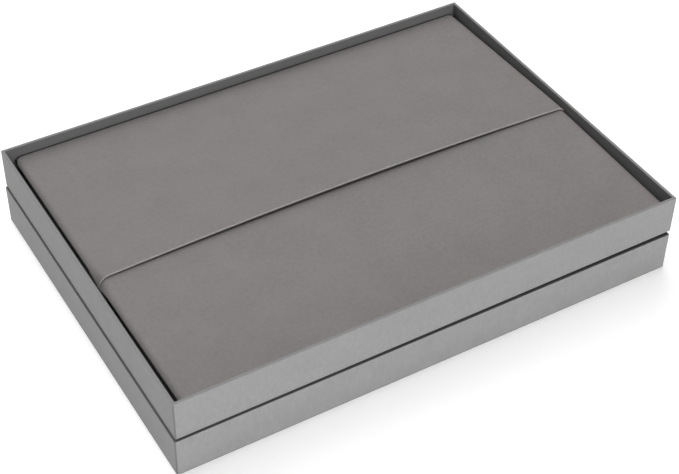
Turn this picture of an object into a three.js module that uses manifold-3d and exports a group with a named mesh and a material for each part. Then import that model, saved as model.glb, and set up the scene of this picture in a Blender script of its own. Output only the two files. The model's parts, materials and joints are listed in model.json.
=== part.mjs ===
import * as THREE from "three";
import { mergeVertices } from "three/addons/utils/BufferGeometryUtils.js";
import Module from "manifold-3d";

// Archival box of paper-covered greyboard, in millimetres, +Z up. The origin is the middle of the outline,
// on the surface that the box stands on. A lower tray holds a neck, an upper tray stands over the neck,
// and two flaps close the upper tray a little below its rim.

// Outline and heights
const boxLength = 440;
const boxWidth = 317;
const lowerHeight = 35.25;
const upperHeight = 35.25;
const revealGap = 1.5;
const skirtDepth = 6.5;

// Boards and papers
const wallBoard = 2;
const floorBoard = 2;
const paper = 0.25;
const stayPaper = 0.25;
const stayLeg = 20;
const stayInset = 1;
const flangeWidth = 15;
const sheetInset = 0.5;

// Neck: glued to the lower walls, rebated above, so that the upper tray's skirt drops over it
const neckBoard = 1.5;
const neckPlay = 1.75;
const neckSeatClearance = 0.25;
const neckPackingDrop = 0.5;

// Flaps
const flapBoard = 1.5;
const flapHingeDepth = 9;
const flapHingeGap = 1.25;
const flapSideGap = 2.75;
const flapOverlap = 16;
const flapLayGap = 0.6;
const flapRise = 5.9;
const flapCrown = 5.6;
const flapEndDrop = 3.5;
const flapEndRun = 9;
const flapCornerRadius = 6;
const stripPaper = 0.25;
const stripInset = 5;

// What follows from them
const boardOuterX = boxLength / 2 - paper - stayPaper;
const boardOuterY = boxWidth / 2 - paper - stayPaper;
const boardInnerX = boardOuterX - wallBoard;
const boardInnerY = boardOuterY - wallBoard;
const innerX = boardInnerX - paper;
const innerY = boardInnerY - paper;
const upperBase = lowerHeight + revealGap;
const neckTop = upperBase + skirtDepth;
const seatShift = neckPlay - neckSeatClearance;

const colours = {
  cover: 0x8e8c8c,
  lining: 0x7c7a7a,
  flap: 0x85817f,
  greyboard: 0x8a8175,
  stay: 0xb9ad93,
};

function material(colour) {
  return new THREE.MeshStandardMaterial({ color: colour, roughness: 0.9, metalness: 0 });
}

const materials = Object.fromEntries(
  Object.entries(colours).map(([name, colour]) => [name, material(colour)]),
);

const wasm = await Module();
wasm.setup();

// A box from its two corners.
function boxGeometry(low, high) {
  const size = high.map((value, axis) => value - low[axis]);
  const middle = high.map((value, axis) => (value + low[axis]) / 2);
  return new THREE.BoxGeometry(...size).translate(...middle);
}

// A box centred on the vertical axis, from z = bottom to z = top.
function centredBox(halfX, halfY, bottom, top) {
  return boxGeometry([-halfX, -halfY, bottom], [halfX, halfY, top]);
}

function toSolid(geometry) {
  const bare = new THREE.BufferGeometry();
  bare.setAttribute("position", geometry.toNonIndexed().getAttribute("position"));
  const merged = mergeVertices(bare, 1e-4);
  return new wasm.Manifold(
    new wasm.Mesh({
      numProp: 3,
      vertProperties: merged.getAttribute("position").array,
      triVerts: new Uint32Array(merged.index.array),
    }),
  );
}

function toGeometry(solid) {
  const mesh = solid.getMesh();
  const geometry = new THREE.BufferGeometry();
  geometry.setAttribute("position", new THREE.BufferAttribute(mesh.vertProperties, mesh.numProp));
  geometry.setIndex(new THREE.BufferAttribute(mesh.triVerts, 1));
  geometry.computeVertexNormals();
  return geometry;
}

function addPiece(group, name, geometry, finish) {
  const mesh = new THREE.Mesh(geometry, finish);
  mesh.name = name;
  group.add(mesh);
  return mesh;
}

// A thin upright ring of paper on the inner faces of the walls.
function paperRing(bottom, top) {
  const outside = toSolid(centredBox(boardInnerX, boardInnerY, bottom, top));
  return outside.subtract(toSolid(centredBox(innerX, innerY, bottom - 1, top + 1)));
}

// The covering sheet: outside the walls, over the rim and down inside to the floor. Under a floor at the
// bottom edge it ends in a glued flange, and under a raised floor it lines the skirt.
function coverGeometry(height, floorRise) {
  const halfX = boxLength / 2;
  const halfY = boxWidth / 2;
  const floorTop = floorRise + paper + floorBoard;
  const skin = toSolid(centredBox(halfX, halfY, 0, height)).subtract(
    toSolid(centredBox(halfX - paper, halfY - paper, paper, height - paper)),
  );
  const mouth = toSolid(centredBox(innerX, innerY, floorTop, height + 1));
  const sleeve = skin.subtract(mouth).add(paperRing(floorTop, height - paper / 2));
  if (floorRise > 0) {
    const underside = toSolid(centredBox(innerX, innerY, -1, floorRise));
    return toGeometry(sleeve.subtract(underside).add(paperRing(paper / 2, floorRise + paper)));
  }
  const opening = centredBox(halfX - flangeWidth, halfY - flangeWidth, -1, 2 * paper);
  return toGeometry(sleeve.subtract(toSolid(opening)));
}

// An L of tape that holds two wall boards together at one outside corner.
function stayGeometry(signX, signY, height) {
  const outX = boardOuterX + stayPaper;
  const outY = boardOuterY + stayPaper;
  const outline = [
    [outX, outY],
    [outX - stayLeg, outY],
    [outX - stayLeg, boardOuterY],
    [boardOuterX, boardOuterY],
    [boardOuterX, outY - stayLeg],
    [outX, outY - stayLeg],
  ];
  const shape = new THREE.Shape(outline.map(([x, y]) => new THREE.Vector2(signX * x, signY * y)));
  const bottom = paper + stayInset;
  const depth = height - 2 * bottom;
  return new THREE.ExtrudeGeometry(shape, { depth, bevelEnabled: false }).translate(0, 0, bottom);
}

// One covered tray. floorRise is how far its underside sits above its bottom edge.
function makeTray(prefix, height, floorRise) {
  const tray = new THREE.Group();
  const wallBottom = paper;
  const wallTop = height - paper;
  const floorBottom = floorRise + paper;
  const floorTop = floorBottom + floorBoard;
  const walls = {
    front_wall: [[-boardOuterX, -boardOuterY, wallBottom], [boardOuterX, -boardInnerY, wallTop]],
    back_wall: [[-boardOuterX, boardInnerY, wallBottom], [boardOuterX, boardOuterY, wallTop]],
    left_wall: [[-boardOuterX, -boardInnerY, wallBottom], [-boardInnerX, boardInnerY, wallTop]],
    right_wall: [[boardInnerX, -boardInnerY, wallBottom], [boardOuterX, boardInnerY, wallTop]],
  };
  for (const [name, [low, high]] of Object.entries(walls)) {
    addPiece(tray, `${prefix}_${name}`, boxGeometry(low, high), materials.greyboard);
  }
  const floor = centredBox(boardInnerX, boardInnerY, floorBottom, floorTop);
  addPiece(tray, `${prefix}_floor_board`, floor, materials.greyboard);
  const lining = centredBox(innerX, innerY, floorTop, floorTop + paper);
  addPiece(tray, `${prefix}_floor_lining`, lining, materials.lining);
  addPiece(tray, `${prefix}_cover`, coverGeometry(height, floorRise), materials.cover);

  const raised = floorRise > 0;
  const sheetX = raised ? innerX : boxLength / 2 - flangeWidth - sheetInset;
  const sheetY = raised ? innerY : boxWidth / 2 - flangeWidth - sheetInset;
  const sheet = centredBox(sheetX, sheetY, floorRise, floorRise + paper);
  addPiece(tray, `${prefix}_base_sheet`, sheet, materials.cover);

  const corners = { front_left: [-1, -1], front_right: [1, -1], back_left: [-1, 1], back_right: [1, 1] };
  for (const [name, [signX, signY]] of Object.entries(corners)) {
    addPiece(tray, `${prefix}_stay_${name}`, stayGeometry(signX, signY, height), materials.stay);
  }
  return tray;
}

// The neck: four rebated boards that stand on the lower floor and rise above the lower rim.
function makeNeck() {
  const neck = new THREE.Group();
  const bottom = paper + floorBoard + paper;
  const packingTop = lowerHeight - neckPackingDrop;
  const collarX = innerX - neckPlay;
  const collarY = innerY - neckPlay;
  const insideX = collarX - neckBoard;
  const insideY = collarY - neckBoard;
  const board = (packing, collar) =>
    toGeometry(toSolid(boxGeometry(...packing)).add(toSolid(boxGeometry(...collar))));
  const pieces = {
    neck_front: board(
      [[-innerX, -innerY, bottom], [innerX, -insideY, packingTop]],
      [[-collarX, -collarY, bottom], [collarX, -insideY, neckTop]],
    ),
    neck_back: board(
      [[-innerX, insideY, bottom], [innerX, innerY, packingTop]],
      [[-collarX, insideY, bottom], [collarX, collarY, neckTop]],
    ),
    neck_left: board(
      [[-innerX, -insideY, bottom], [-insideX, insideY, packingTop]],
      [[-collarX, -insideY, bottom], [-insideX, insideY, neckTop]],
    ),
    neck_right: board(
      [[insideX, -insideY, bottom], [innerX, insideY, packingTop]],
      [[insideX, -insideY, bottom], [collarX, insideY, neckTop]],
    ),
  };
  for (const [name, geometry] of Object.entries(pieces)) {
    addPiece(neck, name, geometry, materials.lining);
  }
  return neck;
}

// A flap with its hinge edge on the X axis at z = 0, reaching towards -Y. It climbs by rise to its free
// edge, bulges by crown in the middle of that edge, and its two ends turn down.
function flapGeometry(length, rise, crown) {
  const half = innerX - flapSideGap;
  const geometry = new THREE.BoxGeometry(2, 1, 1, 28, 8, 1);
  const position = geometry.getAttribute("position");
  for (let i = 0; i < position.count; i += 1) {
    const x = half * Math.sin((position.getX(i) * Math.PI) / 2);
    const reach = 0.5 - position.getY(i);
    const nearEnd = Math.max(0, Math.abs(x) - half + flapCornerRadius) / flapCornerRadius;
    const corner = flapCornerRadius * (1 - Math.sqrt(Math.max(0, 1 - nearEnd ** 2)));
    const turn = Math.max(0, Math.abs(x) - half + flapEndRun) / flapEndRun;
    const lift = rise * reach + crown * reach * (1 - (x / half) ** 2) - flapEndDrop * turn ** 2;
    const under = (0.5 - position.getZ(i)) * flapBoard;
    position.setXYZ(i, x, -corner - reach * (length - corner), lift - under);
  }
  geometry.computeVertexNormals();
  return geometry;
}

// The two flaps and the paper strips that hinge them to the long walls. The front flap reaches the middle
// of the box, and the back flap lies over it.
function addFlaps(tray) {
  const hingeY = innerY - flapHingeGap;
  const hingeZ = upperHeight - flapHingeDepth;
  const backLength = hingeY + flapOverlap;
  const frontLength = hingeY;
  const share = frontLength / backLength;
  const frontRise = flapRise * share - flapBoard - flapLayGap;
  const frontCrown = flapCrown * share;

  const back = flapGeometry(backLength, flapRise, flapCrown);
  addPiece(tray, "back_flap", back, materials.flap).position.set(0, hingeY, hingeZ);
  const front = addPiece(tray, "front_flap", flapGeometry(frontLength, frontRise, frontCrown), materials.flap);
  front.position.set(0, -hingeY, hingeZ);
  front.rotation.z = Math.PI;

  const stripX = innerX - flapSideGap - stripInset;
  const stripBottom = skirtDepth + paper + floorBoard + paper;
  const inside = innerY - stripPaper;
  const backStrip = boxGeometry([-stripX, inside, stripBottom], [stripX, innerY, hingeZ]);
  const frontStrip = boxGeometry([-stripX, -innerY, stripBottom], [stripX, -inside, hingeZ]);
  addPiece(tray, "back_hinge_strip", backStrip, materials.lining);
  addPiece(tray, "front_hinge_strip", frontStrip, materials.lining);
}

const lower = makeTray("lower", lowerHeight, 0);
lower.add(makeNeck());
lower.position.set(-seatShift / 2, -seatShift / 2, 0);

const upper = makeTray("upper", upperHeight, skirtDepth);
addFlaps(upper);
upper.position.set(seatShift / 2, seatShift / 2, upperBase);

const archivalBox = new THREE.Group();
archivalBox.add(lower, upper);

export default archivalBox;
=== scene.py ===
import json
import math

import bpy
import numpy as np
from mathutils import Matrix, Vector


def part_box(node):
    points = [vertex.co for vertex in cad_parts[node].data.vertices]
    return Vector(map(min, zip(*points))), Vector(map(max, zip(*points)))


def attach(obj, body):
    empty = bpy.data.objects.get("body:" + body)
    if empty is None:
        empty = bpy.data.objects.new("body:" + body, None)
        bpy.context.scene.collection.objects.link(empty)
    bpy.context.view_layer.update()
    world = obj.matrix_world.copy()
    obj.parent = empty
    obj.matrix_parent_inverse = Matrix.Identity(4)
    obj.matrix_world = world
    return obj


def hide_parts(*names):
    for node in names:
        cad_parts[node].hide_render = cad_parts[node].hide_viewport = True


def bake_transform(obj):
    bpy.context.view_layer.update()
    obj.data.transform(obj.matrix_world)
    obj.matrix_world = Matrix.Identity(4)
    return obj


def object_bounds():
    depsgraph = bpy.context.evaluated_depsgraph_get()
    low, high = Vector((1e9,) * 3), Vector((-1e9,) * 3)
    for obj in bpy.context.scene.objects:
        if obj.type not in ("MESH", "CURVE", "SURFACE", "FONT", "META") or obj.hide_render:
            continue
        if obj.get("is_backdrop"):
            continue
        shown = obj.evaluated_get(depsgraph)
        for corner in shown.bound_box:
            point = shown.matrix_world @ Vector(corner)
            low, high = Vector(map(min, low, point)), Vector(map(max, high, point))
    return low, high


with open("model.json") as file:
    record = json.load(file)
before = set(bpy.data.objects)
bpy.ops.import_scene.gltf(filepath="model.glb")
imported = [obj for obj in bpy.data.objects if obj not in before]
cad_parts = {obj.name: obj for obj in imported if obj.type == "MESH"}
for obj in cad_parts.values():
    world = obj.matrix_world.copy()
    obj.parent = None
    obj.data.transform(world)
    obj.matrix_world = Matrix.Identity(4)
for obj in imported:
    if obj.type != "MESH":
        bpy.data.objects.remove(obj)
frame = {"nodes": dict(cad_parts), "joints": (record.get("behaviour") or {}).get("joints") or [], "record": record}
cad_low, cad_high = (list(corner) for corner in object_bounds())

# A closed archival box: a lower tray with a neck, an upper tray that stands over the neck, and two flaps
# that close the upper tray. Lengths are in metres.

MM = 0.001

rim_low, rim_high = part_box("upper_cover")
lining_low, lining_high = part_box("upper_floor_lining")
centre_x = (rim_low.x + rim_high.x) / 2
centre_y = (rim_low.y + rim_high.y) / 2
half_x = (rim_high.x - rim_low.x) / 2
inner_half_y = (lining_high.y - lining_low.y) / 2
rim_z = rim_high.z

# How far the long walls of the upper tray lean in at the middle of their rims
BACK_BOW = 0.5 * MM
FRONT_BOW = 0.5 * MM
# Share of the way from the middle to a long wall where the lean sets in, and over which it grows to full
LEAN_START = 0.9
LEAN_SPAN = 0.09


def bow_shift(x, y, z):
    """How far a point of the upper tray's long walls moves along Y."""
    along = np.clip(1 - ((x - centre_x) / half_x) ** 2, 0, 1)
    height = np.clip((z - lining_high.z) / (rim_z - lining_high.z), 0, 1)
    side = np.where(y > centre_y, -BACK_BOW, FRONT_BOW)
    near_wall = np.clip((np.abs(y - centre_y) / inner_half_y - LEAN_START) / LEAN_SPAN, 0, 1)
    return side * along * height * near_wall


# The upper tray's lower edge stands a little higher towards the front right corner, and lower on the left.
# The shift fades out over FOOT_BLEND above the edge.
FOOT_RISE = 0.9 * MM
FOOT_DROP = 0.7 * MM
FOOT_BLEND = 6 * MM


def foot_shift(x, y, z):
    """How far a point near the upper tray's lower edge moves up."""
    rightward = np.clip((x - rim_low.x) / (rim_high.x - rim_low.x), 0, 1)
    forward = np.clip((rim_high.y - y) / (rim_high.y - rim_low.y), 0, 1)
    near_foot = np.clip(1 - (z - rim_low.z) / FOOT_BLEND, 0, 1)
    return (FOOT_RISE * rightward * forward - FOOT_DROP * (1 - rightward)) * near_foot


def mesh_object(name, points, faces, attributes=None):
    """A smooth-shaded mesh, with a number for each point under every name in attributes."""
    mesh = bpy.data.meshes.new(name)
    mesh.from_pydata([tuple(map(float, p)) for p in points], [], faces)
    mesh.validate()
    for key, values in (attributes or {}).items():
        layer = mesh.attributes.new(key, "FLOAT", "POINT")
        layer.data.foreach_set("value", np.asarray(values, np.float32))
    mesh.polygons.foreach_set("use_smooth", [True] * len(mesh.polygons))
    mesh.update()
    piece = bpy.data.objects.new(name, mesh)
    bpy.context.scene.collection.objects.link(piece)
    return piece


# ---------------------------------------------------------------- materials

# Scales of the noise in paper and board
CLOUD_SCALE = 38
MOTTLE_SCALE = 330
FLECK_SCALE = 900
FIBRE_SCALE = 1500
WEAVE_SCALE = 330
WEAVE_WAVER = 1.5
WEAVE_DETAIL = 2
# Weights of the noises in the tone and in the relief
CLOUD_TONE, MOTTLE_TONE, FIBRE_TONE = 0.22, 0.45, 0.33
FIBRE_RELIEF, MOTTLE_RELIEF = 0.7, 0.5
RELIEF_DEPTH = 0.06 * MM
RELIEF_STRENGTH = 0.45
# The ranges of the noises that set the tone, the rubbing of worn edges, the roughness and the flecks
TONE_RANGE = (0.36, 0.64)
RUB_RANGE = (0.35, 0.65)
ROUGH_RANGE = (0.3, 0.7)
FLECK_RANGE = (0.64, 0.72)
# Brightness of worn paper and painted highlight, of flecks, and of darkened paper and painted shade, as a multiple
# of the paper's own
WORN_AND_HIGHLIT = 2.3
FLECK = 0.5
DARK_AND_PAINTED_SHADE = 0.3
# Sheen of the paper
SPECULAR = 0.35


def node(tree, kind, **inputs):
    made = tree.nodes.new(kind)
    for key, value in inputs.items():
        made.inputs[key.replace("_", " ")].default_value = value
    return made


def noise(tree, coords, scale, detail=3.0, stretch=(1, 1, 1)):
    mapping = node(tree, "ShaderNodeMapping")
    mapping.inputs["Scale"].default_value = stretch
    tree.links.new(coords, mapping.inputs["Vector"])
    texture = node(tree, "ShaderNodeTexNoise", Scale=scale, Detail=detail, Roughness=0.6)
    tree.links.new(mapping.outputs["Vector"], texture.inputs["Vector"])
    return texture.outputs["Fac"]


def remap(tree, value, low, high, to_low, to_high):
    made = node(tree, "ShaderNodeMapRange")
    for key, number in zip(("From Min", "From Max", "To Min", "To Max"), (low, high, to_low, to_high)):
        made.inputs[key].default_value = number
    tree.links.new(value, made.inputs["Value"])
    return made.outputs["Result"]


def math_node(tree, operation, a, b):
    made = tree.nodes.new("ShaderNodeMath")
    made.operation = operation
    for socket, value in zip(made.inputs, (a, b)):
        if isinstance(value, (int, float)):
            socket.default_value = value
        else:
            tree.links.new(value, socket)
    return made.outputs["Value"]


def weighted_sum(tree, terms):
    """The sum of the values, each times its weight."""
    parts = [math_node(tree, "MULTIPLY", value, weight) for value, weight in terms]
    total = parts[0]
    for part in parts[1:]:
        total = math_node(tree, "ADD", total, part)
    return total


def point_value(tree, name):
    """The number that mesh_object stored at the points under this name."""
    made = tree.nodes.new("ShaderNodeAttribute")
    made.attribute_name = name
    return made.outputs["Fac"]


def mix_colour(tree, factor, a, b):
    # Sockets 6 and 7 in, and 2 out, are the node's colour sockets.
    made = tree.nodes.new("ShaderNodeMix")
    made.data_type = "RGBA"
    tree.links.new(factor, made.inputs["Factor"])
    for socket, value in ((made.inputs[6], a), (made.inputs[7], b)):
        if isinstance(value, tuple):
            socket.default_value = (*value, 1)
        else:
            tree.links.new(value, socket)
    return made.outputs[2]


def shade(colour, factor):
    return tuple(min(1.0, channel * factor) for channel in colour)


def paper_material(name, colour, grain, contrast, weave=0, flecks=0, rough=(0.62, 0.8)):
    """Matte fibrous stock: clouds, fibres, optional weave and flecks, pale worn edges and painted highlight, and
    darkened paper and painted shade.
    """
    made = bpy.data.materials.new(name)
    made.use_nodes = True
    tree = made.node_tree
    shader = tree.nodes["Principled BSDF"]
    coords = tree.nodes.new("ShaderNodeTexCoord").outputs["Object"]
    cloud = noise(tree, coords, CLOUD_SCALE, 4)
    mottle = noise(tree, coords, MOTTLE_SCALE, 3, grain)
    fibre = noise(tree, coords, FIBRE_SCALE, 2, grain)
    tone = weighted_sum(tree, [(cloud, CLOUD_TONE), (mottle, MOTTLE_TONE), (fibre, FIBRE_TONE)])
    factor = remap(tree, tone, *TONE_RANGE, 0, 1)
    result = mix_colour(tree, factor, shade(colour, 1 - contrast), shade(colour, 1 + contrast))
    relief = [(fibre, FIBRE_RELIEF), (mottle, MOTTLE_RELIEF)]
    if weave:
        for direction in ("X", "Y", "Z"):
            wave = tree.nodes.new("ShaderNodeTexWave")
            wave.bands_direction = direction
            wave.inputs["Scale"].default_value = WEAVE_SCALE
            wave.inputs["Distortion"].default_value = WEAVE_WAVER
            wave.inputs["Detail Scale"].default_value = WEAVE_DETAIL
            tree.links.new(coords, wave.inputs["Vector"])
            relief.append((wave.outputs["Fac"], weave))
    if flecks:
        specks = noise(tree, coords, FLECK_SCALE, 1, (1, 0.35, 1))
        spots = remap(tree, specks, *FLECK_RANGE, 0, flecks)
        result = mix_colour(tree, spots, result, shade(colour, FLECK))
    # Pale worn edges, and a painted highlight along the flaps' free edges
    uneven = remap(tree, mottle, *RUB_RANGE, 0.6, 1)
    rubbed_and_highlit = math_node(tree, "MULTIPLY", point_value(tree, "wear_and_highlight"), uneven)
    result = mix_colour(tree, rubbed_and_highlit, result, shade(colour, WORN_AND_HIGHLIT))
    # Darker inside, on the rim tops and at the upright corners, and painted shade at the gap between the trays and
    # along the hinges
    result = mix_colour(tree, point_value(tree, "darkening_and_painted_shade"), result, shade(colour, DARK_AND_PAINTED_SHADE))
    tree.links.new(result, shader.inputs["Base Color"])
    tree.links.new(remap(tree, mottle, *ROUGH_RANGE, *rough), shader.inputs["Roughness"])
    shader.inputs["Specular IOR Level"].default_value = SPECULAR
    bump = node(tree, "ShaderNodeBump", Strength=RELIEF_STRENGTH, Distance=RELIEF_DEPTH)
    tree.links.new(weighted_sum(tree, relief), bump.inputs["Height"])
    tree.links.new(bump.outputs["Normal"], shader.inputs["Normal"])
    return made


colours = {entry["slot"]: tuple(entry["base_color"][:3]) for entry in frame["record"]["materials"]}
materials = {
    "cover_paper": paper_material("cover_paper", colours["cover_paper"], (1, 1, 0.5), 0.1, weave=0.10),
    "lining_paper": paper_material("lining_paper", colours["lining_paper"], (1, 1, 1), 0.08),
    "flap_paper": paper_material("flap_paper", colours["flap_paper"], (1, 1, 1), 0.14, weave=0.06),
    "greyboard": paper_material(
        "greyboard", colours["greyboard"], (0.3, 0.3, 1), 0.18, flecks=0.8, rough=(0.8, 0.95)
    ),
    "stay_tape": paper_material(
        "stay_tape", colours["stay_tape"], (1, 1, 0.3), 0.12, weave=0.35, flecks=0.2, rough=(0.5, 0.65)
    ),
}


def dress(piece, slot):
    piece.data.materials.clear()
    piece.data.materials.append(materials[slot])


for entry in frame["record"]["subparts"]:
    dress(frame["nodes"][entry["node"]], entry["material_slot"])

BOARD_EDGE = 0.35 * MM


def soften(piece):
    """Ease the cut edges of a board."""
    bevel = piece.modifiers.new("soft_edges", "BEVEL")
    bevel.width = BOARD_EDGE
    bevel.segments = 3
    bevel.limit_method = "ANGLE"


for name, cad_node in frame["nodes"].items():
    if name.endswith("_wall") or name.startswith("neck_") or name.endswith("_floor_board"):
        soften(cad_node)


# ---------------------------------------------------------------- covering of the trays

PAPER = 0.25 * MM
# Radius of the upper tray's rim, of the lower tray's rim and of the trays' lower edges
EDGE_RADIUS = 0.9 * MM
SEAT_EDGE_RADIUS = 0.25 * MM
LOWER_EDGE_RADIUS = 0.25 * MM
EDGE_STEPS = 5
# Radius of the upright corners outside, and the smallest one inside
CORNER_RADIUS = 0.8 * MM
INNER_CORNER_RADIUS = 0.35 * MM
CORNER_STEPS = 6
# The strip glued under the lower tray, and the line of points across it
FLANGE = 15 * MM
FLANGE_LINE = 3 * MM
# Spacing of points along the walls, and the extra points next to a corner
WALL_STEP = 11 * MM
CORNER_LINES = (0.3 * MM, 2 * MM)
wall_counts = (round(2 * half_x / WALL_STEP), round((rim_high.y - rim_low.y) / WALL_STEP))
# How dark the paper is made, from 0 to 1: inside, on the upper rim, as painted shade at the gap between the trays,
# and at the upright corners
INNER_SHADE = 0.62
RIM_SHADE = 0.32
SEAT_SHADE = 0.85
SEAM_SHADE = 0.55
# Wear of the rims, and the share of it at the lower edges
RIM_WEAR = 0.04
FOOT_WEAR_SHARE = 0.6


def plan(low, high, inset, radius):
    """Points of a rounded rectangle, anticlockwise from the front left corner, as many for every inset."""
    cx, cy = (low.x + high.x) / 2, (low.y + high.y) / 2
    hx, hy = (high.x - low.x) / 2 - inset, (high.y - low.y) / 2 - inset
    points = []
    corners = ((-1, -1, 180), (1, -1, 270), (1, 1, 0), (-1, 1, 90))
    for index, (sx, sy, start) in enumerate(corners):
        ox, oy = cx + sx * (hx - radius), cy + sy * (hy - radius)
        for k in range(CORNER_STEPS + 1):
            angle = math.radians(start + 90 * k / CORNER_STEPS)
            points.append((ox + radius * math.cos(angle), oy + radius * math.sin(angle)))
        nx, ny, next_start = corners[(index + 1) % 4]
        ex, ey = cx + nx * (hx - radius), cy + ny * (hy - radius)
        turn = math.radians(next_start)
        begin = points[-1]
        end = (ex + radius * math.cos(turn), ey + radius * math.sin(turn))
        count = wall_counts[index % 2]
        span = math.dist(begin, end)
        near = [line / span for line in CORNER_LINES]
        evenly = [k / count for k in range(1, count)]
        for share in [*near, *evenly, *(1 - line for line in reversed(near))]:
            points.append((begin[0] + (end[0] - begin[0]) * share, begin[1] + (end[1] - begin[1]) * share))
    return points


def at_upright_corner(x, y, low, high):
    """Whether a point of the outside lies on the arc of an upright corner."""
    to_side = (high.x - low.x) / 2 - abs(x - (low.x + high.x) / 2)
    to_front = (high.y - low.y) / 2 - abs(y - (low.y + high.y) / 2)
    return max(to_side, to_front) < CORNER_RADIUS


def arc(centre_d, centre_z, radius, start, end):
    """Points (inset, height) of an arc of the wall's section, from start to end in degrees."""
    angles = [math.radians(start + (end - start) * k / EDGE_STEPS) for k in range(EDGE_STEPS + 1)]
    return [(centre_d + radius * math.cos(a), centre_z + radius * math.sin(a)) for a in angles]


def cover_section(bottom, top, thickness, sheet_z, floor_z, raised):
    """The section (inset, height) of a tray's covering, as its outer side and then its glued side."""
    r = EDGE_RADIUS if raised else SEAT_EDGE_RADIUS
    foot = LOWER_EDGE_RADIUS
    outer = []
    if not raised:
        outer += [(FLANGE, bottom), (FLANGE_LINE, bottom)]
    else:
        outer += [(thickness, sheet_z), (thickness, bottom + foot)]
        outer += arc(thickness - foot, bottom + foot, foot, 0, -90)[1:]
    outer += arc(foot, bottom + foot, foot, -90, -180)
    outer += [(0, bottom + 2 * foot), (0, (bottom + top) / 2), (0, top - 2 * r)]
    outer += arc(r, top - r, r, 180, 90)
    outer += arc(thickness - r, top - r, r, 90, 0)
    outer += [(thickness, top - 2 * r), (thickness, (floor_z + top) / 2), (thickness, floor_z)]
    glued = [(thickness - PAPER, floor_z), (thickness - PAPER, top - r), (thickness - r, top - PAPER)]
    glued += [(r, top - PAPER), (PAPER, top - r), (PAPER, bottom + r)]
    if raised:
        glued += [(r, bottom + PAPER), (thickness - r, bottom + PAPER), (thickness - PAPER, bottom + r)]
        glued += [(thickness - PAPER, sheet_z)]
    else:
        glued += [(r, bottom + PAPER), (FLANGE, bottom + PAPER)]
    return outer, glued


def cover(name, cad_name, prefix, body):
    """The covering sheet of a tray: round the lower edge, up the outside, over the rim and down inside."""
    low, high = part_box(cad_name)
    floor_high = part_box(prefix + "_floor_board")[1]
    sheet_low, sheet_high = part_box(prefix + "_base_sheet")
    thickness = high.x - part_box(prefix + "_floor_lining")[1].x
    top, bottom = high.z, low.z
    raised = sheet_low.z > bottom + PAPER
    r = EDGE_RADIUS if raised else SEAT_EDGE_RADIUS
    outer, glued = cover_section(bottom, top, thickness, sheet_low.z, floor_high.z, raised)
    section = outer + glued
    points, wear_and_highlight, darkening_and_painted_shade = [], [], []
    for index, (inset, z) in enumerate(section):
        ring = plan(low, high, inset, max(CORNER_RADIUS - inset, INNER_CORNER_RADIUS))
        edge = max(0.0, 1 - abs(z - top) / r) if inset < thickness / 2 + r else 0.0
        edge = max(edge, FOOT_WEAR_SHARE * max(0.0, 1 - abs(z - bottom) / r))
        shaded = INNER_SHADE if inset > thickness - r / 2 and z > sheet_high.z else 0.0
        # The upper rim's top is darkened; the lower tray's rim top and the underside of the upper tray's lower
        # edge get painted shade for the gap between the trays
        if z > top - r / 4:
            shaded = RIM_SHADE if raised else SEAT_SHADE
        if raised and z < bottom + LOWER_EDGE_RADIUS / 2:
            shaded = SEAT_SHADE
        for x, y in ring:
            points.append((x, y, z))
            wear_and_highlight.append(RIM_WEAR * edge if index < len(outer) else 0.0)
            darkening_and_painted_shade.append(SEAM_SHADE if inset == 0 and at_upright_corner(x, y, low, high) else shaded)
    count = len(ring)
    faces = []
    for i in range(len(section)):
        j = (i + 1) % len(section)
        for k in range(count):
            m = (k + 1) % count
            faces.append((i * count + k, j * count + k, j * count + m, i * count + m))
    points = np.array(points)
    if prefix == "upper":
        points[:, 1] += bow_shift(points[:, 0], points[:, 1], points[:, 2])
        points[:, 2] += foot_shift(points[:, 0], points[:, 1], points[:, 2])
    piece = mesh_object(name, points, faces, {"wear_and_highlight": wear_and_highlight, "darkening_and_painted_shade": darkening_and_painted_shade})
    weighted = piece.modifiers.new("flat_faces", "WEIGHTED_NORMAL")
    weighted.keep_sharp = False
    dress(piece, "cover_paper")
    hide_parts(cad_name)
    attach(piece, body)


cover("lower_covering", "lower_cover", "lower", "base")
cover("upper_covering", "upper_cover", "upper", "tray")


def bowed_board(cad_name):
    """A long wall board of the upper tray, which leans in with its covering."""
    low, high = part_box(cad_name)
    xs = np.linspace(low.x, high.x, 2 + round((high.x - low.x) / WALL_STEP))
    e = BOARD_EDGE
    loop = [(low.y + e, low.z), (high.y - e, low.z), (high.y, low.z + e), (high.y, lining_high.z)]
    loop += [(high.y, high.z - e), (high.y - e, high.z), (low.y + e, high.z), (low.y, high.z - e)]
    loop += [(low.y, lining_high.z), (low.y, low.z + e)]
    points = np.array([(x, y, z) for x in xs for y, z in loop])
    points[:, 1] += bow_shift(points[:, 0], points[:, 1], points[:, 2])
    points[:, 2] += foot_shift(points[:, 0], points[:, 1], points[:, 2])
    n = len(loop)
    faces = [
        (i * n + k, (i + 1) * n + k, (i + 1) * n + (k + 1) % n, i * n + (k + 1) % n)
        for i in range(len(xs) - 1)
        for k in range(n)
    ]
    faces = [tuple(reversed(face)) for face in faces]
    faces += [tuple(range(n)), tuple((len(xs) - 1) * n + k for k in reversed(range(n)))]
    piece = mesh_object(cad_name.replace("_wall", "_board"), points, faces)
    piece.data.polygons.foreach_set("use_smooth", [False] * len(piece.data.polygons))
    dress(piece, "greyboard")
    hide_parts(cad_name)
    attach(piece, "tray")


bowed_board("upper_back_wall")
bowed_board("upper_front_wall")


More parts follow.
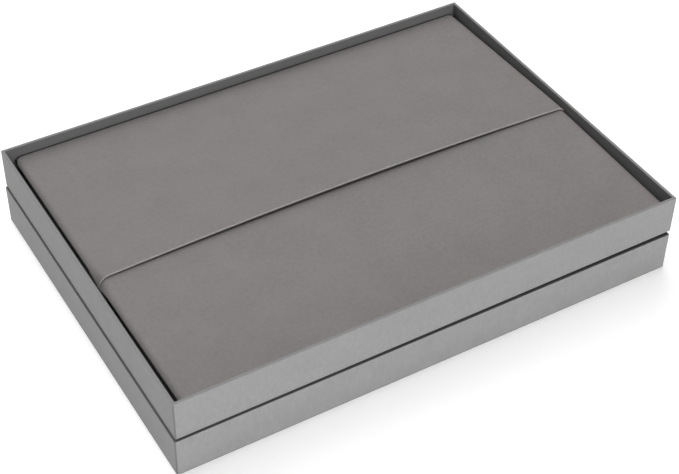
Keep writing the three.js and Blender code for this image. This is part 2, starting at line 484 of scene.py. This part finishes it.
def end_board(cad_name):
    """A short wall board of the upper tray, whose lower edge follows the covering's."""
    low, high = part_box(cad_name)
    corners = [(low.x, low.y), (high.x, low.y), (high.x, high.y), (low.x, high.y)]
    points = np.array([(x, y, z) for z in (low.z, high.z) for x, y in corners])
    points[:, 2] += foot_shift(points[:, 0], points[:, 1], points[:, 2])
    faces = [(3, 2, 1, 0), (4, 5, 6, 7)]
    faces += [(k, (k + 1) % 4, (k + 1) % 4 + 4, k + 4) for k in range(4)]
    piece = mesh_object(cad_name.replace("_wall", "_board"), points, faces)
    piece.data.polygons.foreach_set("use_smooth", [False] * len(piece.data.polygons))
    soften(piece)
    dress(piece, "greyboard")
    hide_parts(cad_name)
    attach(piece, "tray")


end_board("upper_right_wall")


# ---------------------------------------------------------------- flaps and their paper hinges

joints = {joint["name"]: joint for joint in frame["joints"]}
free_edge_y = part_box("back_flap")[0].y

FLAP_THICKNESS = 1.5 * MM
# Share of a flap's rise from the hinge that falls off towards its ends
CROWN_SHARE = 0.49
# Rounding of the corners at the hinge
HINGE_CORNER = 6 * MM
# The ends turn down by a drop over a run, and more so within CURL_REACH of the back flap's free edge
SIDE_DROP, SIDE_RUN = 2.6 * MM, 4.6 * MM
LEFT_DROP, LEFT_RUN = 8.0 * MM, 8.5 * MM
RIGHT_DROP, RIGHT_RUN = 2.8 * MM, 6.0 * MM
CURL_REACH = 20 * MM
# How far the ends stand in or out from the CAD flap's, and how much further in the left one is at the hinge
LEFT_INSET, RIGHT_REACH = 1.5 * MM, 0.9 * MM
LEFT_TAPER = 2.2 * MM
# Shape of the cut edges, and the lines of points on them in shares of half the thickness
EDGE_SQUARENESS = 6
EDGE_LINES = (0, 0.003, 0.02, 0.08, 0.25, 1)
# Lines of points at the ends and along the hinge and the free edge, and the number of lines between them
END_LINES = (1.6 * MM, 2.6 * MM, 4 * MM, 5.5 * MM, 7 * MM, 9 * MM)
BORDER_LINES = (2 * MM, 4 * MM)
FLAP_COLUMNS = 44
FLAP_ROWS = 30
# The worn free edge, paler also as a painted highlight, the worn ends, and the painted shade line at the hinge
PALE_EDGE = 0.8 * MM
PALE_UNDERSIDE = 0.5
END_WEAR = 0.15
HINGE_SHADE = 0.95
HINGE_LINE = 0.3 * MM
# Where the wall's lean is read, beyond the hinge line
WALL_FROM_HINGE = 3 * MM


def graded(start, end, fine, coarse_count):
    """Values from start to end with extra lines at the distances in fine from each end."""
    inner = np.linspace(start + fine[-1], end - fine[-1], coarse_count)
    return np.array(sorted({*[start + f for f in fine], *[end - f for f in fine], *inner}))


def flap_surface(cad_name, joint_name):
    """The flap's upper face as a function of x and reach (0 at the hinge, 1 at the free edge)."""
    low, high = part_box(cad_name)
    hinge = joints[joint_name]["pos_m"]
    outward = 1 if hinge[1] > centre_y else -1
    length = hinge[1] - low.y if outward > 0 else high.y - hinge[1]
    left, right = low.x + LEFT_INSET, high.x + RIGHT_REACH
    half = (right - left) / 2
    middle = (right + left) / 2
    top = high.z - hinge[2]

    def surface(x, reach):
        u = (x - middle) / half
        here_y = hinge[1] - outward * reach * length
        curl = np.clip(1 - np.abs(here_y - free_edge_y) / CURL_REACH, 0, 1) ** 2
        drop = SIDE_DROP + curl * (np.where(u < 0, LEFT_DROP, RIGHT_DROP) - SIDE_DROP)
        run = SIDE_RUN + curl * (np.where(u < 0, LEFT_RUN, RIGHT_RUN) - SIDE_RUN)
        turn = np.clip((np.abs(x - middle) - half + run) / run, 0, 1)
        near_end = np.clip((np.abs(x - middle) - half + HINGE_CORNER) / HINGE_CORNER, 0, 1)
        corner = HINGE_CORNER * (1 - np.sqrt(1 - near_end**2))
        lift = top * (1 - CROWN_SHARE) * reach + top * CROWN_SHARE * reach * (1 - u**2)
        z = hinge[2] + lift - drop * turn**2
        y = hinge[1] - outward * (corner + reach * (length - corner))
        wall_y = np.full_like(x, hinge[1] + outward * WALL_FROM_HINGE)
        y = y + (1 - reach) * bow_shift(x, wall_y, np.full_like(x, hinge[2]))
        return y, z

    return surface, left, right, length, outward


def squarish(share):
    """The height of a squared-off round edge, from 0 at the border to 1 one radius in."""
    return (1 - (1 - share) ** EDGE_SQUARENESS) ** (1 / EDGE_SQUARENESS)


def make_flap(name, cad_name, joint_name, body):
    """A flap board: its curved upper face, the same face one thickness lower, and a shared border."""
    surface, left, right, length, outward = flap_surface(cad_name, joint_name)
    r = FLAP_THICKNESS / 2
    rounding = [r * share for share in EDGE_LINES]
    xs = graded(left, right, [*rounding, *END_LINES], FLAP_COLUMNS)
    ds = graded(0, length, [*rounding, PALE_EDGE, *BORDER_LINES], FLAP_ROWS)
    grid_x, grid_d = np.meshgrid(xs, ds, indexing="ij")
    y, z = surface(grid_x, grid_d / length)
    edge_x = np.clip(np.minimum(grid_x - left, right - grid_x) / r, 0, 1)
    edge_d = np.clip(np.minimum(grid_d, length - grid_d) / r, 0, 1)
    half_thick = r * squarish(edge_x) * squarish(edge_d)
    grid_x = grid_x + LEFT_TAPER * (1 - grid_d / length) * (right - grid_x) / (right - left)
    nx, nd = grid_x.shape
    upper = np.stack([grid_x, y, z - r + half_thick], -1).reshape(-1, 3)
    lower = np.stack([grid_x, y, z - r - half_thick], -1).reshape(-1, 3)
    border = np.zeros((nx, nd), bool)
    border[0, :] = border[-1, :] = border[:, 0] = border[:, -1] = True
    border = border.ravel()
    index_low = np.zeros(nx * nd, int)
    index_low[border] = np.nonzero(border)[0]
    index_low[~border] = nx * nd + np.arange((~border).sum())
    points = np.concatenate([upper, lower[~border]])
    faces = []
    for i in range(nx - 1):
        for k in range(nd - 1):
            a, b, c, d = i * nd + k, (i + 1) * nd + k, (i + 1) * nd + k + 1, i * nd + k + 1
            top_face = (a, d, c, b) if outward > 0 else (a, b, c, d)
            faces.append(top_face)
            faces.append(tuple(int(index_low[v]) for v in reversed(top_face)))
    # The free edge is paler as wear and as a painted highlight
    free = np.clip(1 - (length - grid_d) / PALE_EDGE, 0, 1)
    ends = np.clip(1 - np.minimum(grid_x - left, right - grid_x) / PALE_EDGE, 0, 1)
    wear_and_highlight_top = np.maximum(free, END_WEAR * ends).ravel()
    wear_and_highlight = np.concatenate([wear_and_highlight_top, PALE_UNDERSIDE * free.ravel()[~border]])
    # Painted shade along the hinge, where the flap meets the wall
    hinge_painted_shade = HINGE_SHADE * np.clip(1 - grid_d / HINGE_LINE, 0, 1).ravel()
    darkening_and_painted_shade = np.concatenate([hinge_painted_shade, hinge_painted_shade[~border]])
    piece = mesh_object(name, points, faces, {"wear_and_highlight": wear_and_highlight, "darkening_and_painted_shade": darkening_and_painted_shade})
    dress(piece, "flap_paper")
    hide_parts(cad_name)
    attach(piece, body)


make_flap("back_flap_board", "back_flap", "back_flap_hinge", "back_flap")
make_flap("front_flap_board", "front_flap", "front_flap_hinge", "front_flap")

# Radius of the hinge paper's turn, its lines of points under the flap, and their number along the hinge
HINGE_TURN = 1.1 * MM
HINGE_GLUED = (3 * MM, 6 * MM, 10 * MM, 14 * MM, 18 * MM)
HINGE_COLUMNS = 48


def hinge_paper(name, cad_name, flap_name, joint_name):
    """The strip that runs up the wall, turns at the hinge and is glued under the flap."""
    surface, left, right, length, outward = flap_surface(flap_name, joint_name)
    low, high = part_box(cad_name)
    hinge_z = joints[joint_name]["pos_m"][2]
    wall_y = high.y if outward > 0 else low.y
    xs = np.linspace(low.x, high.x, HINGE_COLUMNS)
    half = PAPER / 2
    points = []
    for x in xs:
        at = np.array([x])
        lean = float(bow_shift(at, np.array([wall_y]), np.array([hinge_z]))[0])
        foot = float(bow_shift(at, np.array([wall_y]), np.array([low.z]))[0])
        start_y = wall_y - outward * half
        under_z = float(surface(at, np.array([0.0]))[1][0]) - FLAP_THICKNESS - half
        path = [(start_y + foot, low.z), (start_y + lean * 0.5 + foot * 0.5, (low.z + under_z) / 2)]
        path += [(start_y + lean, under_z - HINGE_TURN)]
        for degrees in (30, 60, 90):
            a = math.radians(degrees)
            turn_y = start_y + lean - outward * HINGE_TURN * (1 - math.cos(a))
            path.append((turn_y, under_z - HINGE_TURN * (1 - math.sin(a))))
        for from_hinge in HINGE_GLUED:
            y, z = surface(at, np.array([from_hinge / length]))
            path.append((float(y[0]), float(z[0]) - FLAP_THICKNESS - half))
        points.append(path)
    path_count = len(points[0])
    solid = []
    for x, path in zip(xs, points):
        p = np.array(path)
        tangent = np.gradient(p, axis=0)
        tangent /= np.linalg.norm(tangent, axis=1)[:, None]
        normal = np.stack([-tangent[:, 1], tangent[:, 0]], 1)
        for side in (half, -half):
            solid += [(x, *(q + side * n)) for q, n in zip(p, normal)]
    faces = []
    row = 2 * path_count

    def face(*indices):
        faces.append(indices if outward > 0 else tuple(reversed(indices)))

    for i in range(len(xs) - 1):
        a, b = i * row, (i + 1) * row
        for k in range(path_count - 1):
            face(a + k, a + k + 1, b + k + 1, b + k)
            face(a + path_count + k, b + path_count + k, b + path_count + k + 1, a + path_count + k + 1)
        face(a, b, b + path_count, a + path_count)
        last = path_count - 1
        face(a + last, a + path_count + last, b + path_count + last, b + last)
    for base, flip in ((0, False), ((len(xs) - 1) * row, True)):
        for k in range(path_count - 1):
            quad = (base + k, base + path_count + k, base + path_count + k + 1, base + k + 1)
            face(*(reversed(quad) if flip else quad))
    piece = mesh_object(name, solid, faces)
    dress(piece, "lining_paper")
    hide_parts(cad_name)
    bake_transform(piece)


hinge_paper("back_hinge_paper", "back_hinge_strip", "back_flap", "back_flap_hinge")
hinge_paper("front_hinge_paper", "front_hinge_strip", "front_flap", "front_flap_hinge")


# ---------------------------------------------------------------- camera, floor and light

LOOK_AZIMUTH = math.radians(31.06)
LOOK_DOWN = math.radians(42.05)
LOOK_ROLL = math.radians(1.0)
CAMERA_DISTANCE = 1.2226
NEAREST_SEEN = 0.01
# In millimetres, as Blender's cameras take them
FOCAL_LENGTH = 83.73
SENSOR_WIDTH = 36
AIM = Vector((centre_x - 27.6 * MM, centre_y - 55.5 * MM, 60 * MM))

look = Vector(
    (
        math.sin(LOOK_AZIMUTH) * math.cos(LOOK_DOWN),
        math.cos(LOOK_AZIMUTH) * math.cos(LOOK_DOWN),
        -math.sin(LOOK_DOWN),
    )
)
level = look.cross(Vector((0, 0, 1))).normalized()
upright = level.cross(look)
right_hand = level * math.cos(LOOK_ROLL) + upright * math.sin(LOOK_ROLL)
camera_up = upright * math.cos(LOOK_ROLL) - level * math.sin(LOOK_ROLL)
camera = bpy.data.objects.new("camera", bpy.data.cameras.new("camera"))
camera.data.lens = FOCAL_LENGTH
camera.data.sensor_width = SENSOR_WIDTH
camera.data.clip_start = NEAREST_SEEN
camera.matrix_world = Matrix.Translation(AIM - look * CAMERA_DISTANCE) @ Matrix(
    (
        (right_hand.x, camera_up.x, -look.x, 0),
        (right_hand.y, camera_up.y, -look.y, 0),
        (right_hand.z, camera_up.z, -look.z, 0),
        (0, 0, 0, 1),
    )
)
bpy.context.scene.collection.objects.link(camera)
bpy.context.scene.camera = camera

FLOOR_HALF = 60.0
FLOOR_TONE = 0.92
FLOOR_GLOW = 0.26
floor = mesh_object(
    "floor",
    [(x, y, cad_low[2]) for x, y in ((-1, -1), (1, -1), (1, 1), (-1, 1))],
    [(0, 1, 2, 3)],
)
floor.scale = (FLOOR_HALF, FLOOR_HALF, 1)
floor_material = bpy.data.materials.new("floor")
floor_material.use_nodes = True
floor_shader = floor_material.node_tree.nodes["Principled BSDF"]
floor_shader.inputs["Base Color"].default_value = (FLOOR_TONE, FLOOR_TONE, FLOOR_TONE, 1)
floor_shader.inputs["Roughness"].default_value = 0.9
floor_shader.inputs["Emission Color"].default_value = (1, 1, 1, 1)
floor_shader.inputs["Emission Strength"].default_value = FLOOR_GLOW
floor.data.materials.append(floor_material)
floor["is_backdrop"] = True

# The background is white to look at, and adds little light: the lamps below do the lighting.
WORLD_LIGHT = 0.03
world = bpy.data.worlds.new("studio")
world.use_nodes = True
world_tree = world.node_tree
background = world_tree.nodes["Background"]
background.inputs["Color"].default_value = (1, 1, 1, 1)
light_path = world_tree.nodes.new("ShaderNodeLightPath")
seen_or_dim = math_node(world_tree, "MAXIMUM", light_path.outputs["Is Camera Ray"], WORLD_LIGHT)
world_tree.links.new(seen_or_dim, background.inputs["Strength"])
bpy.context.scene.world = world
bpy.context.scene.view_settings.view_transform = "Standard"


def aimed(name, kind, azimuth, elevation, distance=1.0):
    """A lamp that faces the box. Azimuth 0 is the front, and 90 the right."""
    a, e = math.radians(azimuth), math.radians(elevation)
    place = Vector((math.sin(a) * math.cos(e), -math.cos(a) * math.cos(e), math.sin(e))) * distance
    lamp = bpy.data.objects.new(name, bpy.data.lights.new(name, kind))
    lamp.location = place
    lamp.rotation_mode = "QUATERNION"
    lamp.rotation_quaternion = (-place).to_track_quat("-Z", "Y")
    bpy.context.scene.collection.objects.link(lamp)
    return lamp.data


def softbox(name, azimuth, elevation, distance, size, power):
    """A square lamp, with its distance and size in metres and its power in watts."""
    lamp = aimed(name, "AREA", azimuth, elevation, distance)
    lamp.size = size
    lamp.energy = power


def wide_sun(name, azimuth, elevation, strength, spread):
    """Light from a patch of sky that is spread degrees across."""
    lamp = aimed(name, "SUN", azimuth, elevation)
    lamp.energy = strength
    lamp.angle = math.radians(spread)


wide_sun("top_light", azimuth=0, elevation=89, strength=1.15, spread=18)
wide_sun("back_light", azimuth=180, elevation=46, strength=2.4, spread=80)
wide_sun("front_light", azimuth=0, elevation=7, strength=1.3, spread=10)
softbox("front_left_light", azimuth=-25, elevation=16, distance=1.3, size=0.7, power=2.4)
